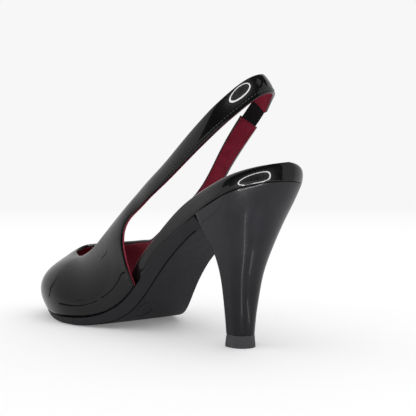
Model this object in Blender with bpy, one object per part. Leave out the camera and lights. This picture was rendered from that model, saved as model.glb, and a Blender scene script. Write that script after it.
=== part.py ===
"""Heeled slingback shoe, left foot, built on the shape of its last.

Metres, +X to the toe, +Y to the outer side, +Z up. Tables are in millimetres, x from the heel back.
"""
import math

import bmesh
import bpy
import numpy as np

# Driving dimensions of the last (metres); the tables are drawn for the base size and stretch with these
LENGTH = 0.237
BALL_WIDTH = 0.0796
HEEL_HEIGHT = 0.093
INSTEP_HEIGHT = 0.0466
BASE_LENGTH = 0.237
BASE_BALL_WIDTH = 0.0796
BASE_HEEL_HEIGHT = 0.093
BASE_INSTEP_HEIGHT = 0.0466

# Walls and gaps (metres)
UPPER_WALL = 0.0020
ELASTIC_WALL = 0.0012
SEAM_GAP = 0.0003
STRAP_WIDTH = 0.0125
ELASTIC_WIDTH = 0.0100
RAND_ROUND = 0.0030
RIM_CROWN = 0.0010
SOLE_OVERHANG = 0.0004
SOLE_TUCK = 0.0010
TOE_TUCK = 0.034
INSOLE_INSET = 0.0040
RAND_INSET = 0.0003
TIP_HEIGHT = 0.0070

# Places along the shoe (mm from the heel back, base size)
SEAT_RADIUS = 25.5
BALL_X = 167.0
TOE_X = 237.0
TOE_POINT = 1.90
TOE_ROUND = 1.55
WING_X = 111.0
BREAST_X = 53.95
BREAST_SLANT = 3.0
SEAT_TAPER = 0.088
FLAT_START_X = 160.0
FLAT_END_X = 175.0
TOE_SPRING = 6.8
TIP_CENTRE_X = 39.0
ELASTIC_X = (55.4, 45.8)
STRAP_PLANE_DEG = 35.0

# Mesh density
ACROSS = 9
SECTION_STEP = 3.4

# Bottom of the last, a row per section
LAST_COLUMNS = ("x", "mid_y", "half", "feather", "footbed")
LAST_ROWS = (
    (0.0, 0.0, 25.5, 93.0, 103.2),
    (25.5, 0.0, 25.5, 85.6, 95.7),
    (48.0, 0.4, 22.7, 76.6, 88.4),
    (67.0, 0.6, 20.6, 66.7, 80.6),
    (82.0, 0.7, 19.9, 57.2, 71.2),
    (97.0, 0.4, 20.9, 44.4, 58.7),
    (107.0, 0.0, 22.6, 32.5, 48.9),
    (114.0, -0.5, 24.6, 24.4, 40.4),
    (121.0, -0.9, 26.9, 18.0, 30.2),
    (129.0, -1.2, 29.7, 12.8, 20.8),
    (137.0, -1.2, 32.7, 9.3, 15.0),
    (145.0, -0.8, 35.5, 7.0, 11.9),
    (154.0, 0.0, 38.0, 5.8, 10.3),
    (167.0, 0.9, 39.8, 5.0, 9.3),
    (184.0, 1.4, 39.8, 5.1, 9.4),
    (204.0, 1.8, 39.8, 6.2, 10.5),
    (219.0, 2.2, 39.8, 8.0, 12.3),
    (237.0, 2.8, 39.8, 11.2, 15.4),
)

# Underside of the outsole from the heel breast to the ball
TREAD_COLUMNS = ("x", "tread")
TREAD_ROWS = (
    (48.0, 69.4),
    (67.0, 58.4),
    (82.0, 47.6),
    (97.0, 33.0),
    (107.0, 21.6),
    (114.0, 14.6),
    (121.0, 9.2),
    (129.0, 5.1),
    (137.0, 2.7),
    (145.0, 1.2),
    (152.0, 0.35),
    (160.0, 0.0),
)

# Heel, a row per section; share runs from the heel tip to the heel seat
HEEL_COLUMNS = ("share", "back", "breast", "half")
HEEL_ROWS = (
    (0.00, -8.4, 5.2, 7.2),
    (0.10, -9.0, 5.2, 7.9),
    (0.30, -11.2, 5.2, 9.7),
    (0.44, -13.6, 5.5, 11.2),
    (0.58, -18.2, 6.4, 13.6),
    (0.70, -22.9, 7.8, 16.6),
    (0.80, -27.2, 9.8, 19.7),
    (0.90, -32.9, 12.0, 22.5),
    (1.00, -37.9, 14.6, 24.2),
)

# Outer face of the sling strap along its middle, from the inner wing round the ankle to the outer wing
STRAP_COLUMNS = ("x", "y", "z", "lean_deg")
STRAP_ROWS = (
    (98.0, -26.9, 89.7, 9.5),
    (84.0, -25.0, 103.7, 11.0),
    (70.0, -22.8, 116.6, 24.0),
    (56.0, -20.8, 128.0, 38.0),
    (43.9, -20.0, 138.6, 18.0),
    (36.2, -17.9, 144.6, 7.0),
    (29.7, -13.6, 146.8, 4.0),
    (25.0, -7.5, 147.1, 1.0),
    (23.3, 0.0, 145.6, -3.0),
    (24.9, 7.6, 141.5, -6.0),
    (29.3, 14.1, 135.3, -6.8),
    (35.9, 18.5, 128.9, -5.0),
    (43.9, 20.3, 123.0, -0.9),
    (56.0, 20.9, 115.3, 5.3),
    (70.0, 21.6, 105.8, 12.0),
    (84.0, 22.2, 96.5, 18.0),
    (98.0, 22.8, 87.8, 21.5),
)

# Wing from the strap down the swept-back edge: low and top edge of each section, and how much further out
# and higher the inner side stands
WING_COLUMNS = ("low_x", "low_y", "low_z", "top_x", "top_y", "top_z", "inner_out", "inner_up")
WING_ROWS = (
    (105.8, 24.6, 76.4, 113.0, 20.6, 84.6, 4.8, 0.0),
    (114.0, 26.4, 69.9, 123.0, 21.1, 77.5, 3.9, 0.2),
    (117.5, 28.1, 61.5, 134.0, 21.6, 69.3, 3.2, 0.9),
    (116.6, 28.6, 51.5, 145.0, 22.0, 60.9, 2.5, 1.8),
    (113.0, 27.6, 39.2, 153.5, 22.2, 54.5, 2.0, 2.5),
)

# Vamp from the wing to the toe: foot station on the feather edge, throat edge on each side
VAMP_COLUMNS = ("foot_x", "top_x", "outer_y", "outer_z", "inner_y", "inner_z")
VAMP_ROWS = (
    (111.0, 160.0, 22.0, 50.0, 24.0, 53.4),
    (124.0, 167.5, 21.4, 46.4, 23.8, 52.4),
    (144.0, 177.0, 19.8, 43.5, 22.4, 51.4),
    (167.0, 186.5, 17.2, 42.4, 19.8, 50.4),
    (189.0, 194.5, 14.2, 42.7, 16.2, 49.5),
    (207.0, 201.2, 11.5, 43.5, 12.2, 49.0),
    (221.0, 205.5, 8.1, 44.6, 7.6, 48.4),
    (231.0, 208.0, 4.8, 45.7, 3.0, 47.9),
)
TOE_ROW = (237.0, 208.8, 1.2, 47.0)

# How full the upper stands between feather and throat, as a share of each section's chord
FULLNESS_COLUMNS = ("foot_x", "low", "top")
FULLNESS_ROWS = (
    (111.0, 0.21, 0.10),
    (144.0, 0.29, 0.13),
    (189.0, 0.57, 0.215),
    (221.0, 0.44, 0.167),
    (237.0, 0.285, 0.18),
)
STRAP_FULLNESS = (0.11, 0.11)

MM = 0.001
STRETCH_X = LENGTH / BASE_LENGTH
STRETCH_Y = BALL_WIDTH / BASE_BALL_WIDTH
STRETCH_Z = HEEL_HEIGHT / BASE_HEEL_HEIGHT
STRETCH_TOP = INSTEP_HEIGHT / BASE_INSTEP_HEIGHT

MATERIALS = {
    "upper": ((0.010, 0.010, 0.011), 0.12),
    "insole": ((0.011, 0.011, 0.012), 0.14),
    "outsole": ((0.024, 0.024, 0.027), 0.60),
    "heel": ((0.016, 0.016, 0.017), 0.20),
    "heel_tip": ((0.012, 0.012, 0.013), 0.55),
    "elastic_gore": ((0.012, 0.012, 0.013), 0.80),
}


def column(rows, columns, name):
    return np.array([row[columns.index(name)] for row in rows], float)


def spline(t, values, flat_start=False, flat_end=False):
    """Smooth cubic through the values; an end is free unless it is held flat."""
    t = np.asarray(t, float)
    values = np.asarray(values, float).reshape(len(t), -1)
    n = len(t)
    h = np.diff(t)
    rise = np.diff(values, axis=0) / h[:, None]
    system = np.zeros((n, n))
    right = np.zeros_like(values)
    for k in range(1, n - 1):
        system[k, k - 1] = h[k - 1]
        system[k, k] = 2.0 * (h[k - 1] + h[k])
        system[k, k + 1] = h[k]
        right[k] = 6.0 * (rise[k] - rise[k - 1])
    system[0, 0] = 1.0
    system[-1, -1] = 1.0
    if flat_start:
        system[0, :2] = (2.0 * h[0], h[0])
        right[0] = 6.0 * rise[0]
    if flat_end:
        system[-1, -2:] = (h[-1], 2.0 * h[-1])
        right[-1] = -6.0 * rise[-1]
    bend = np.linalg.solve(system, right)

    def at(s):
        s = np.clip(np.atleast_1d(np.asarray(s, float)), t[0], t[-1])
        k = np.clip(np.searchsorted(t, s, side="right") - 1, 0, n - 2)
        a = ((t[k + 1] - s) / h[k])[:, None]
        b = ((s - t[k]) / h[k])[:, None]
        lift = ((a ** 3 - a) * bend[k] + (b ** 3 - b) * bend[k + 1]) * (h[k] ** 2)[:, None] / 6.0
        return a * values[k] + b * values[k + 1] + lift

    return at


LAST_X = column(LAST_ROWS, LAST_COLUMNS, "x")
mid_line = spline(LAST_X, column(LAST_ROWS, LAST_COLUMNS, "mid_y"))
feather_line = spline(LAST_X, column(LAST_ROWS, LAST_COLUMNS, "feather"))
footbed_line = spline(LAST_X, column(LAST_ROWS, LAST_COLUMNS, "footbed"))
WAIST = [row for row in LAST_ROWS if SEAT_RADIUS <= row[0] <= BALL_X]
waist_line = spline(column(WAIST, LAST_COLUMNS, "x"), column(WAIST, LAST_COLUMNS, "half"), True, True)
tread_x = column(TREAD_ROWS, TREAD_COLUMNS, "x")
tread_line = spline(tread_x, column(TREAD_ROWS, TREAD_COLUMNS, "tread"), False, True)
BALL_HALF = LAST_ROWS[-1][2]


def half_width(x):
    """Half the width of the last's bottom: round seat, waist, ball and almond toe."""
    if x < SEAT_RADIUS:
        return math.sqrt(max(0.0, SEAT_RADIUS ** 2 - (SEAT_RADIUS - x) ** 2))
    if x > BALL_X:
        u = min(1.0, (x - BALL_X) / (TOE_X - BALL_X))
        return BALL_HALF * (1.0 - u ** TOE_POINT) ** (1.0 / TOE_ROUND)
    return float(waist_line(x)[0, 0])


def mid(x):
    return float(mid_line(x)[0, 0])


def feather(x):
    return float(feather_line(x)[0, 0])


def footbed(x):
    return float(footbed_line(x)[0, 0])


def tread(x):
    """Underside of the outsole: waist, flat ball, toe spring."""
    if x < FLAT_START_X:
        return float(tread_line(x)[0, 0])
    if x < FLAT_END_X:
        return 0.0
    return TOE_SPRING * ((x - FLAT_END_X) / (TOE_X - FLAT_END_X)) ** 2


def smooth_step(a, b, x):
    u = min(1.0, max(0.0, (x - a) / (b - a)))
    return u * u * (3.0 - 2.0 * u)


def place(p):
    """Table millimetres to metres, stretched to the driving dimensions."""
    return ((p[0] - TIP_CENTRE_X) * MM * STRETCH_X, p[1] * MM * STRETCH_Y, p[2] * MM * STRETCH_Z)


def new_object(name, verts, faces):
    mesh = bpy.data.meshes.new(name)
    mesh.from_pydata([tuple(v) for v in verts], [], faces)
    bm = bmesh.new()
    bm.from_mesh(mesh)
    bmesh.ops.recalc_face_normals(bm, faces=bm.faces)
    if bm.calc_volume(signed=True) < 0.0:
        bmesh.ops.reverse_faces(bm, faces=bm.faces)
    bm.to_mesh(mesh)
    bm.free()
    mesh.polygons.foreach_set("use_smooth", [True] * len(mesh.polygons))
    obj = bpy.data.objects.new(name, mesh)
    bpy.context.scene.collection.objects.link(obj)
    colour, roughness = MATERIALS[name]
    material = bpy.data.materials.new(name)
    material.use_nodes = True
    shader = material.node_tree.nodes["Principled BSDF"]
    shader.inputs["Base Color"].default_value = (*colour, 1.0)
    shader.inputs["Roughness"].default_value = roughness
    shader.inputs["Metallic"].default_value = 0.0
    mesh.materials.append(material)
    return obj


def skin(name, rings):
    """One closed solid through rings of equal count, flat at both ends."""
    count = len(rings[0])
    verts = [place(p) for ring in rings for p in ring]
    faces = []
    for i in range(len(rings) - 1):
        for j in range(count):
            k = (j + 1) % count
            faces.append((i * count + j, i * count + k, (i + 1) * count + k, (i + 1) * count + j))
    faces.append(tuple(range(count - 1, -1, -1)))
    faces.append(tuple((len(rings) - 1) * count + j for j in range(count)))
    return new_object(name, verts, faces)


def stations(start, end, step, round_start, round_end):
    """Section places, drawn closer together where an end is round in plan."""
    count = max(4, int(round((end - start) / step)))
    places = [start + (end - start) * k / count for k in range(count + 1)]
    if round_start:
        arc = [start + round_start * (1.0 - math.cos(a)) for a in np.linspace(0.06, math.pi / 2, 12)]
        places = arc + [p for p in places if p > start + round_start + 0.6 * step]
    if round_end:
        arc = [end - round_end * (1.0 - math.cos(a)) for a in np.linspace(math.pi / 2, 0.10, 12)]
        places = [p for p in places if p < end - round_end - 0.6 * step] + arc
    return places


def insole_ring(x):
    """Board section: flat under, full rounded edge, narrower where it lies inside the upper."""
    covered = smooth_step(WING_X - 7.5, WING_X - 0.5, x)
    above = smooth_step(WING_X + 1.0, WING_X + 10.0, x)
    inset = (RAND_INSET + (INSOLE_INSET - RAND_INSET) * above) / MM
    tuck = (INSOLE_INSET - RAND_INSET) * (covered - above) / MM
    crown = RIM_CROWN * (1.0 - covered) / MM
    low = feather(x) + SEAM_GAP / MM
    top = footbed(x)
    half = max(0.4, half_width(x) - inset)
    round_up = min(RAND_ROUND / MM, 0.45 * (top - low), half)
    round_low = min(0.8, half)
    ring = []
    for side in (1.0, -1.0):
        edge = []
        for a in np.linspace(90.0, 0.0, 4):
            c = math.radians(a)
            edge.append((half - round_up * (1.0 - math.cos(c)), top - round_up * (1.0 - math.sin(c))))
        for share in (0.35, 0.70, 1.0):
            edge.append((half, top - round_up + (low + round_low - top + round_up) * share))
        edge.append((half - 0.3 * round_low, low + 0.3 * round_low))
        edge.append((half - round_low, low))
        swell = min(crown, 0.3 * half)
        edge = [(y - swell * ((2.0 * z - low - top) / (top - low)) ** 2, z) for y, z in edge]
        edge = [(y - tuck * (top - z) / (top - low), z) for y, z in edge]
        if side < 0.0:
            edge.reverse()
        ring += [(x, mid(x) + side * y, z) for y, z in edge]
    return ring


def outsole_ring(x):
    """Moulded sole section: leaning wall, narrow bevel, flat tread; the rear end slants with the heel."""
    slant = BREAST_SLANT * (1.0 - smooth_step(BREAST_X, BREAST_X + 20.0, x))
    top = feather(x)
    low = tread(x - slant)
    half = half_width(x) * (1.0 - TOE_TUCK * smooth_step(BALL_X, BALL_X + 33.0, x)) + SOLE_OVERHANG / MM
    half -= SOLE_TUCK / MM * (1.0 - smooth_step(BREAST_X, BREAST_X + 12.0, x))
    scale = min(1.0, half / 9.0)
    lean = (1.5 + 1.5 * (1.0 - smooth_step(WING_X, FLAT_START_X, x))) * scale
    bevel = 2.4 * scale
    depth = top - low
    edge = [
        (half - 1.0 * scale, top),
        (half - 0.2 * scale, top - 0.25),
        (half, top - 0.8),
        (half - 0.55 * lean, top - 0.5 * depth),
        (half - lean, low + 0.14 * depth + 0.2),
        (half - lean - 0.5 * scale, low + 0.35),
        (half - lean - bevel, low),
    ]
    edge = [(x - slant * (top - z) / depth, y, z) for y, z in edge]
    ring = [(px, mid(x) + y, z) for px, y, z in edge]
    ring += [(px, mid(x) - y, z) for px, y, z in reversed(edge)]
    return ring


HEEL_SHARE = column(HEEL_ROWS, HEEL_COLUMNS, "share")
heel_line = spline(HEEL_SHARE, [row[1:] for row in HEEL_ROWS])


def heel_outline(back, breast, half, taper=0.0, count=40, corner=8.0):
    """Round back, flat breast with rounded corners, drawn in towards the breast by the taper."""
    widest = min(back + half, 0.5 * (back + breast) + 1.0)
    points = []
    for k in range(count):
        a = 2.0 * math.pi * k / count
        c, s = math.cos(a), math.sin(a)
        if c <= 0.0:
            points.append((widest + c * (widest - back), s * half))
        else:
            x = abs(c) ** (2.0 / corner)
            y = abs(s) ** (2.0 / corner)
            wide = half * (1.0 - taper * x * x)
            points.append((widest + x * (breast - widest), math.copysign(y, s) * wide))
    return points


def make_heel():
    low = (TIP_HEIGHT + SEAM_GAP) / MM
    rings = []
    for share in np.linspace(0.0, 1.0, 19):
        back, breast, half = heel_line(share)[0]
        ring = []
        corner = 8.0 + 14.0 * share ** 2
        for px, py in heel_outline(back, breast, half, SEAT_TAPER * share ** 3, 40, corner):
            x = px + TIP_CENTRE_X
            ring.append((x, py, low + share * (feather(x) - low)))
        rings.append(ring)
    return skin("heel", rings)


def make_heel_tip():
    height = TIP_HEIGHT / MM
    rings = []
    for z, grow in ((0.0, 0.4), (0.4, 0.55), (0.6 * height, 0.2), (height - 0.5, 0.0), (height, -0.25)):
        outline = heel_outline(-8.4 - grow, 5.2 + grow, 7.2 + grow, 0.0, 32)
        rings.append([(px + TIP_CENTRE_X, py, z) for px, py in outline])
    return skin("heel_tip", rings)


# Sling strap

def strap_path():
    """Smooth line of the whole loop, from the inner side round the back to the outer side."""
    points = np.array([row[:3] for row in STRAP_ROWS], float)
    lean = [row[3] for row in STRAP_ROWS]
    run = np.concatenate([[0.0], np.cumsum(np.linalg.norm(np.diff(points, axis=0), axis=1))])
    return run, spline(run, points), spline(run, lean)


STRAP_RUN, strap_at, strap_lean = strap_path()


def run_at_inner(x):
    """Distance along the loop where its inner side passes x."""
    back = int(np.argmin(column(STRAP_ROWS, STRAP_COLUMNS, "x")))
    runs = np.linspace(STRAP_RUN[0], STRAP_RUN[back], 400)
    xs = strap_at(runs)[:, 0]
    return float(np.interp(-x, -xs, runs))


def strap_section(run, width):
    """Low and top edge of the strap at a distance along its loop; the band leans in towards the ankle."""
    centre = strap_at(run)[0]
    step = 0.4
    along = strap_at(run + step)[0] - strap_at(run - step)[0]
    along = along / np.linalg.norm(along)
    tilt = math.radians(STRAP_PLANE_DEG)
    up = np.array([math.sin(tilt), 0.0, math.cos(tilt)])
    up = up - along * np.dot(up, along)
    up = up / np.linalg.norm(up)
    inward = np.cross(along, up)
    ankle = np.array([90.0, 0.0, centre[2]]) - centre
    if np.dot(inward, ankle) < 0.0:
        inward = -inward
    lean = math.radians(float(strap_lean(run)[0, 0]))
    cross = up * math.cos(lean) + inward * math.sin(lean)
    half = 0.5 * width / MM
    return centre - cross * half, centre + cross * half


def foot_point(x, side):
    return (x, mid(x) + side * half_width(x), feather(x) + SEAM_GAP / MM)


def wing_fullness(k):
    """Fullness of a wing section, growing from the flat strap to the full vamp."""
    share = ((k + 1.0) / (len(WING_ROWS) + 1.0)) ** 1.5
    return tuple(a + (b - a) * share for a, b in zip(STRAP_FULLNESS, FULLNESS_ROWS[0][1:]))


def upper_keys():
    """Key sections of the ribbon, from the elastic round the toe and the heel and back to the elastic."""
    keys = []
    end_low = run_at_inner(ELASTIC_X[0]) - SEAM_GAP / MM
    end_high = run_at_inner(ELASTIC_X[1]) + SEAM_GAP / MM
    inner_runs = [r for r in STRAP_RUN if r < end_low - 4.0]
    for run in [end_low] + inner_runs[::-1]:
        low, top = strap_section(run, STRAP_WIDTH)
        keys.append((low, top, STRAP_FULLNESS))
    for k, row in enumerate(WING_ROWS):
        low = np.array([row[0], -row[1] - row[6], row[2] + 0.5 * row[7]])
        top = np.array([row[3], -row[4] - row[6], row[5] + row[7]])
        keys.append((low, top, wing_fullness(k)))
    corner_inner = len(keys)
    fullness = spline([row[0] for row in FULLNESS_ROWS], [row[1:] for row in FULLNESS_ROWS])
    for row in VAMP_ROWS:
        top = np.array([row[1], -row[4], row[5] * STRETCH_TOP])
        keys.append((np.array(foot_point(row[0], -1.0)), top, tuple(fullness(row[0])[0])))
    top = np.array([TOE_ROW[1], TOE_ROW[2], TOE_ROW[3] * STRETCH_TOP])
    keys.append((np.array(foot_point(TOE_ROW[0], 1.0)), top, tuple(fullness(TOE_ROW[0])[0])))
    for row in reversed(VAMP_ROWS):
        top = np.array([row[1], row[2], row[3] * STRETCH_TOP])
        keys.append((np.array(foot_point(row[0], 1.0)), top, tuple(fullness(row[0])[0])))
    corner_outer = len(keys) - 1
    for k, row in reversed(list(enumerate(WING_ROWS))):
        keys.append((np.array(row[:3]), np.array(row[3:6]), wing_fullness(k)))
    back_runs = [r for r in STRAP_RUN[::-1] if r > end_high + 3.0]
    for run in back_runs + [end_high]:
        low, top = strap_section(run, STRAP_WIDTH)
        keys.append((low, top, STRAP_FULLNESS))
    return keys, corner_inner, corner_outer


def section_curve(low, top, fullness, inside):
    """Points across one section, from the low edge to the top edge, bulging away from the foot."""
    chord = top - low
    size = np.linalg.norm(chord)
    unit = chord / size
    out = 0.5 * (low + top) - inside
    out = out - unit * np.dot(out, unit)
    out = out / np.linalg.norm(out)
    first = low + chord * 0.33 + out * fullness[0] * size
    second = low + chord * (0.67 + 0.6 * fullness[1]) + out * fullness[1] * size
    t = np.linspace(0.0, 1.0, ACROSS + 1)[:, None]
    start = (1 - t) ** 3 * low + 3 * (1 - t) ** 2 * t * first
    return start + 3 * (1 - t) * t ** 2 * second + t ** 3 * top


def inside_point(low, top):
    """A point well inside the foot for a section to bulge away from."""
    centre = 0.5 * (low + top)
    x = min(max(centre[0], 30.0), 178.0)
    strap = smooth_step(45.0, 95.0, centre[2])
    floor_z = min(centre[2], 16.0)
    return np.array([x, mid(x), floor_z + strap * (centre[2] - floor_z)])


def relax(grid, corner_rows, reach=10, rounds=14):
    """Ease the leather over the break at each wing corner; both edges stay where they are."""
    grid = grid.copy()
    weight = np.zeros(len(grid))
    for row in corner_rows:
        away = np.abs(np.arange(len(grid)) - row)
        weight = np.maximum(weight, np.clip(1.0 - away / reach, 0.0, 1.0))
    weight = weight[1:-1, None, None]
    for _ in range(rounds):
        inner = grid[1:-1, 1:-1]
        mean = 0.5 * (grid[:-2, 1:-1] + grid[2:, 1:-1])
        grid[1:-1, 1:-1] = inner + 0.5 * weight * (mean - inner)
    return grid


def ribbon(keys, corners, step):
    """Grid of points over the whole upper; the low edge breaks at the two wing corners."""
    low = np.array([k[0] for k in keys])
    top = np.array([k[1] for k in keys])
    full = np.array([k[2] for k in keys])
    steps_low = np.linalg.norm(np.diff(low, axis=0), axis=1)
    steps_top = np.linalg.norm(np.diff(top, axis=0), axis=1)
    gap = 0.5 * (steps_low + steps_top)
    t = np.concatenate([[0.0], np.cumsum(gap)])
    top_at = spline(t, top)
    full_at = spline(t, full)
    pieces = []
    for a, b in zip([0] + corners, corners + [len(keys) - 1]):
        pieces.append((t[a], t[b], spline(t[a:b + 1], low[a:b + 1])))
    rows = []
    corner_rows = []
    for k in range(len(keys) - 1):
        if k in corners:
            corner_rows.append(len(rows))
        steps = max(2, int(round((t[k + 1] - t[k]) / step)))
        last = k == len(keys) - 2
        for s in np.linspace(t[k], t[k + 1], steps + 1)[:steps + (1 if last else 0)]:
            piece = [p for p in pieces if p[0] - 1e-9 <= s <= p[1] + 1e-9][0]
            p_low = piece[2](s)[0]
            if piece[0] == t[corners[0]]:
                p_low[2] = feather(p_low[0]) + SEAM_GAP / MM
            p_top = top_at(s)[0]
            rows.append(section_curve(p_low, p_top, full_at(s)[0], inside_point(p_low, p_top)))
    return relax(np.array(rows), corner_rows)


def thicken(name, grid, wall):
    """A closed wall under a grid of points, its outer face on the grid."""
    rows, cols = grid.shape[:2]
    outer = np.array([[place(p) for p in row] for row in grid])
    along = np.gradient(outer, axis=0)
    across = np.gradient(outer, axis=1)
    normal = np.cross(along, across)
    normal /= np.linalg.norm(normal, axis=2)[:, :, None]
    centre = outer.reshape(-1, 3).mean(axis=0)
    middle = rows // 2
    if np.dot(normal[middle, cols // 2], outer[middle, cols // 2] - centre) < 0.0:
        normal = -normal
    inner = outer - normal * wall
    verts = np.concatenate([outer.reshape(-1, 3), inner.reshape(-1, 3)])
    shift = rows * cols
    faces = []
    for i in range(rows - 1):
        for j in range(cols - 1):
            a, b, c, d = i * cols + j, i * cols + j + 1, (i + 1) * cols + j + 1, (i + 1) * cols + j
            faces.append((a, b, c, d))
            faces.append((d + shift, c + shift, b + shift, a + shift))
        for j in (0, cols - 1):
            a, d = i * cols + j, (i + 1) * cols + j
            faces.append((a, d, d + shift, a + shift))
    for i in (0, rows - 1):
        for j in range(cols - 1):
            a, b = i * cols + j, i * cols + j + 1
            faces.append((a, b, b + shift, a + shift))
    return new_object(name, verts, faces)


def make_upper():
    keys, corner_inner, corner_outer = upper_keys()
    grid = ribbon(keys, [corner_inner, corner_outer], SECTION_STEP)
    return thicken("upper", grid, UPPER_WALL)


def make_elastic():
    start = run_at_inner(ELASTIC_X[0])
    end = run_at_inner(ELASTIC_X[1])
    rows = []
    for run in np.linspace(start, end, 7):
        low, top = strap_section(run, ELASTIC_WIDTH)
        rows.append(section_curve(low, top, STRAP_FULLNESS, inside_point(low, top))[::3])
    grid = np.array(rows)
    return thicken("elastic_gore", grid, ELASTIC_WALL)


def settle(objects):
    """Move the finished shoe so that the middle of its box stands on the origin."""
    points = np.array([v.co[:] for obj in objects for v in obj.data.vertices])
    low, high = points.min(axis=0), points.max(axis=0)
    shift = np.array([-(low[0] + high[0]) / 2.0, -(low[1] + high[1]) / 2.0, -low[2]])
    for obj in objects:
        for vertex in obj.data.vertices:
            vertex.co = tuple(np.array(vertex.co[:]) + shift)
        obj.data.update()


def main():
    for obj in list(bpy.data.objects):
        bpy.data.objects.remove(obj, do_unlink=True)
    toe_end = TOE_X - 0.05
    insole_end = TOE_X - INSOLE_INSET / MM - 1.0
    board = stations(RAND_INSET / MM + 0.05, insole_end, 5.0, 22.0, 26.0)
    objects = [
        skin("insole", [insole_ring(x) for x in board]),
        skin("outsole", [outsole_ring(x) for x in stations(BREAST_X, toe_end, 5.0, 0.0, 30.0)]),
        make_heel(),
        make_heel_tip(),
        make_upper(),
        make_elastic(),
    ]
    settle(objects)


main()
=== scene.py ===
import bpy
import bmesh
import math
from mathutils import Vector, Matrix
from mathutils.bvhtree import BVHTree
from mathutils.kdtree import KDTree


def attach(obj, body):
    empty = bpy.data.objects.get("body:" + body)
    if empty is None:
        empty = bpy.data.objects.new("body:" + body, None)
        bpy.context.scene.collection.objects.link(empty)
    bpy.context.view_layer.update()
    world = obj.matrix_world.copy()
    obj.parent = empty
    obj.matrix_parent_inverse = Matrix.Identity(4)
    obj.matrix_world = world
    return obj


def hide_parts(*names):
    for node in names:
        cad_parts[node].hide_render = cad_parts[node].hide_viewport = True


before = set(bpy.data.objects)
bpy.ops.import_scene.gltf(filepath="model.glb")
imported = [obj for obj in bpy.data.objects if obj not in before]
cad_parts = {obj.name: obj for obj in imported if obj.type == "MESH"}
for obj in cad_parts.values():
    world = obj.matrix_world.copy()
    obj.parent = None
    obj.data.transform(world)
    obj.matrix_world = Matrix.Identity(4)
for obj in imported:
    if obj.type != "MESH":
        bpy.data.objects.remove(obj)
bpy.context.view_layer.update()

print("frame loaded:", ", ".join(sorted(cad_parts)))


# small helpers used by every piece

def pickOnly(piece):
    bpy.ops.object.select_all(action="DESELECT")
    piece.select_set(True)
    bpy.context.view_layer.objects.active = piece


def editAll(piece, operator, **settings):
    # one edit-mode operator on the whole piece
    pickOnly(piece)
    bpy.ops.object.mode_set(mode="EDIT")
    bpy.ops.mesh.select_all(action="SELECT")
    operator(**settings)
    bpy.ops.object.mode_set(mode="OBJECT")


# weld: distance, flat and square: angles within which two triangles become one four-sided face
meshWork = {"weld": 0.000002, "flat": 50, "square": 75}


def copyOfNode(nodeName, pieceName):
    piece = bpy.data.objects.new(pieceName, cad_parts[nodeName].data.copy())
    bpy.context.collection.objects.link(piece)
    editAll(piece, bpy.ops.mesh.remove_doubles, threshold=meshWork["weld"])
    editAll(piece, bpy.ops.mesh.tris_convert_to_quads, face_threshold=math.radians(meshWork["flat"]),
            shape_threshold=math.radians(meshWork["square"]))
    if piece.data.has_custom_normals:
        bpy.ops.mesh.customdata_custom_splitnormals_clear()
    piece.data.materials.clear()
    return piece


def applySubdivision(piece, levels):
    pickOnly(piece)
    smooth = piece.modifiers.new("smooth", "SUBSURF")
    smooth.levels = levels
    smooth.render_levels = levels
    smooth.boundary_smooth = "PRESERVE_CORNERS"
    bpy.ops.object.modifier_apply(modifier="smooth")


def applyThickness(piece, thickness):
    pickOnly(piece)
    thick = piece.modifiers.new("thick", "SOLIDIFY")
    thick.thickness = thickness
    thick.offset = -1.0
    bpy.ops.object.modifier_apply(modifier="thick")


def roundEdges(piece, width, angle):
    pickOnly(piece)
    edge = piece.modifiers.new("edge", "BEVEL")
    edge.width = width
    edge.segments = 2
    edge.limit_method = "ANGLE"
    edge.angle_limit = math.radians(angle)
    bpy.ops.object.modifier_apply(modifier="edge")


def creaseSharpEdges(piece, angle, weight):
    pickOnly(piece)
    bpy.ops.object.mode_set(mode="EDIT")
    bpy.ops.mesh.select_mode(type="EDGE")
    bpy.ops.mesh.select_all(action="DESELECT")
    bpy.ops.mesh.edges_select_sharp(sharpness=math.radians(angle))
    bpy.ops.transform.edge_crease(value=weight)
    bpy.ops.object.mode_set(mode="OBJECT")


def regionsBetweenCreases(piece, angle):
    # faces that meet without a fold belong to one region, largest first
    shape = bmesh.new()
    shape.from_mesh(piece.data)
    shape.faces.ensure_lookup_table()
    limit = math.radians(angle)
    seen = set()
    regions = []
    for start in shape.faces:
        if start.index in seen:
            continue
        seen.add(start.index)
        todo = [start]
        found = []
        while todo:
            face = todo.pop()
            found.append(face.index)
            for edge in face.edges:
                if len(edge.link_faces) != 2 or edge.calc_face_angle() > limit:
                    continue
                for other in edge.link_faces:
                    if other.index not in seen:
                        seen.add(other.index)
                        todo.append(other)
        regions.append((sum(shape.faces[i].calc_area() for i in found), found))
    shape.free()
    return [found for area, found in sorted(regions, key=lambda item: -item[0])]


def deleteFaces(piece, keep):
    pickOnly(piece)
    bpy.ops.object.mode_set(mode="EDIT")
    bpy.ops.mesh.select_mode(type="FACE")
    bpy.ops.mesh.select_all(action="DESELECT")
    bpy.ops.object.mode_set(mode="OBJECT")
    for face in piece.data.polygons:
        face.select = not keep[face.index]
    bpy.ops.object.mode_set(mode="EDIT")
    bpy.ops.mesh.delete(type="FACE")
    bpy.ops.object.mode_set(mode="OBJECT")


def surfaceOf(mesh):
    return BVHTree.FromPolygons([v.co for v in mesh.vertices], [f.vertices[:] for f in mesh.polygons])


def nearestOf(points):
    tree = KDTree(len(points))
    for k, point in enumerate(points):
        tree.insert(point, k)
    tree.balance()
    return tree


def markDistance(mesh, name, points):
    # how far each corner lies from a line of points, kept on the mesh for its finish
    tree = nearestOf(points)
    run = mesh.attributes.new(name, "FLOAT", "POINT")
    for v in mesh.vertices:
        run.data[v.index].value = tree.find(v.co)[2]


torusTube = 0.05


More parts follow.
